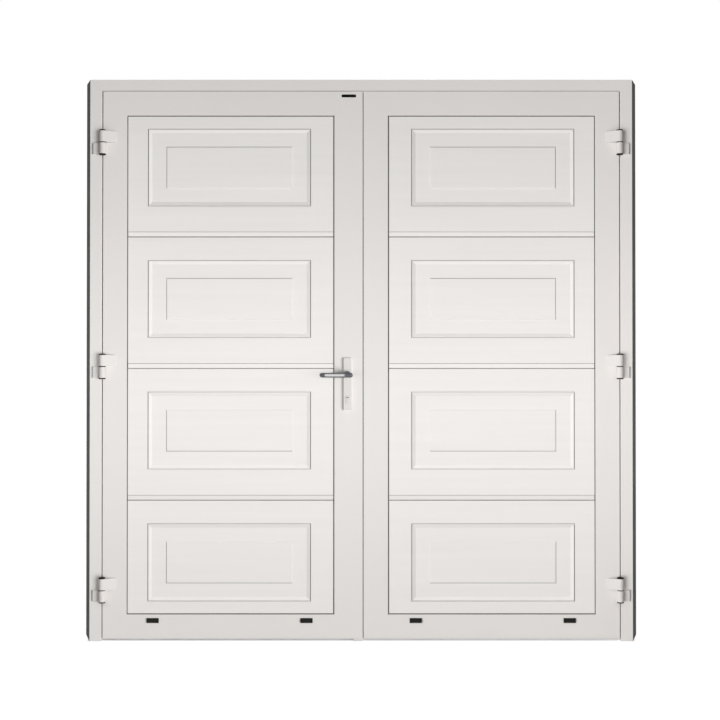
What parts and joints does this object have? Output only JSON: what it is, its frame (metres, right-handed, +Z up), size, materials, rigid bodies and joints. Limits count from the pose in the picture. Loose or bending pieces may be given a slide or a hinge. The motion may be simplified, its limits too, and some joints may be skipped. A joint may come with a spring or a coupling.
{
  "type": "double utility door",
  "caption": "White double utility door in its frame, with cassette panels in both leaves, a lever set with lock on the active leaf and flush bolts on the passive leaf",
  "frame": {"origin": "Floor level under the middle of the door's width, at the middle of the frame's depth.", "axes": "+Z is up, the outside face with the hinge barrels looks along -Y, and +X is to the right seen from outside."},
  "size_m": [2.086, 0.196, 2.132],
  "materials": {
    "white_coat": "satin white powder coat on aluminium",
    "white_panel": "white coated sheet with a fine horizontal grain",
    "dark_rubber": "matt dark rubber",
    "black_plastic": "black moulded plastic",
    "white_plastic": "white moulded plastic",
    "mill_aluminium": "plain anodised",
    "silver_plate": "satin silver anodised",
    "dark_steel": "satin dark steel",
    "bright_steel": "zinc plated",
    "lock_brass": "nickelled brass"
  },
  "bodies": {
    "frame": {"frame_head": "white_coat", "frame_jamb_left": "white_coat", "frame_jamb_right": "white_coat", "threshold": "mill_aluminium", "frame_gasket": "dark_rubber", "wall_seal_left": "dark_rubber", "wall_seal_right": "dark_rubber", "hinge_frame_wings_left": "white_coat", "hinge_frame_wings_right": "white_coat", "hinge_pins": "bright_steel", "hinge_washers": "black_plastic", "hinge_bottom_caps": "black_plastic"},
    "active_leaf": {"active_hinge_stile": "white_coat", "active_lock_stile": "white_coat", "active_top_rail": "white_coat", "active_bottom_rail": "white_coat", "active_panel_top": "white_panel", "active_panel_upper": "white_panel", "active_panel_lower": "white_panel", "active_panel_bottom": "white_panel", "active_side_beads": "white_coat", "active_end_beads": "white_coat", "active_panel_gasket": "dark_rubber", "active_meeting_seal": "dark_rubber", "active_bottom_seal": "dark_rubber", "active_drain_caps": "black_plastic", "active_end_cap": "white_plastic", "hinge_leaf_wings_active": "white_coat", "hinge_top_caps_active": "black_plastic", "outside_plate": "silver_plate", "inside_plate": "silver_plate", "plate_screws": "bright_steel", "lock_case": "bright_steel", "cylinder_body": "lock_brass"},
    "lever_set": {"outside_lever": "dark_steel", "inside_lever": "dark_steel", "lever_spindle": "bright_steel", "lock_follower": "bright_steel"},
    "latch": {"latch_bolt": "bright_steel"},
    "dead_bolt": {"dead_bolt": "bright_steel"},
    "cylinder_plug": {"cylinder_plug": "lock_brass"},
    "passive_leaf": {"passive_hinge_stile": "white_coat", "passive_meeting_stile": "white_coat", "passive_top_rail": "white_coat", "passive_bottom_rail": "white_coat", "passive_panel_top": "white_panel", "passive_panel_upper": "white_panel", "passive_panel_lower": "white_panel", "passive_panel_bottom": "white_panel", "passive_side_beads": "white_coat", "passive_end_beads": "white_coat", "passive_panel_gasket": "dark_rubber", "passive_bottom_seal": "dark_rubber", "passive_drain_caps": "black_plastic", "hinge_leaf_wings_passive": "white_coat", "hinge_top_caps_passive": "black_plastic", "keep_plate": "bright_steel"},
    "top_flush_bolt": {"top_flush_bolt": "bright_steel"},
    "bottom_flush_bolt": {"bottom_flush_bolt": "bright_steel"}
  },
  "joints": [
    {"name": "active_swing", "type": "hinge", "parent": "frame", "child": "active_leaf", "pos_m": [-0.9795, -0.048, 1.042], "axis": [0, 0, -1], "range_deg": [0, 170]},
    {"name": "passive_swing", "type": "hinge", "parent": "frame", "child": "passive_leaf", "pos_m": [0.9795, -0.048, 1.042], "axis": [0, 0, 1], "range_deg": [0, 170]},
    {"name": "lever_turn", "type": "hinge", "parent": "active_leaf", "child": "lever_set", "pos_m": [-0.0515, -0.002, 1.0125], "axis": [0, -1, 0], "range_deg": [0, 40], "stiffness_Nm_per_rad": 2, "springref_deg": -20.05},
    {"name": "latch_slide", "type": "slide", "parent": "active_leaf", "child": "latch", "axis": [1, 0, 0], "range_m": [-0.0105, 0]},
    {"name": "key_turn", "type": "hinge", "parent": "active_leaf", "child": "cylinder_plug", "pos_m": [-0.0515, -0.002, 0.9245], "axis": [0, 1, 0], "range_deg": [0, 360]},
    {"name": "dead_bolt_slide", "type": "slide", "parent": "active_leaf", "child": "dead_bolt", "axis": [1, 0, 0], "range_m": [0, 0.023]},
    {"name": "top_bolt_slide", "type": "slide", "parent": "passive_leaf", "child": "top_flush_bolt", "axis": [0, 0, 1], "range_m": [0, 0.018]},
    {"name": "bottom_bolt_slide", "type": "slide", "parent": "passive_leaf", "child": "bottom_flush_bolt", "axis": [0, 0, -1], "range_m": [0, 0.01]}
  ],
  "couplings": [
    {"joint": "latch_slide", "follows": "lever_turn", "m_per_rad": -0.01504},
    {"joint": "dead_bolt_slide", "follows": "key_turn", "m_per_rad": 0.0036605}
  ]
}
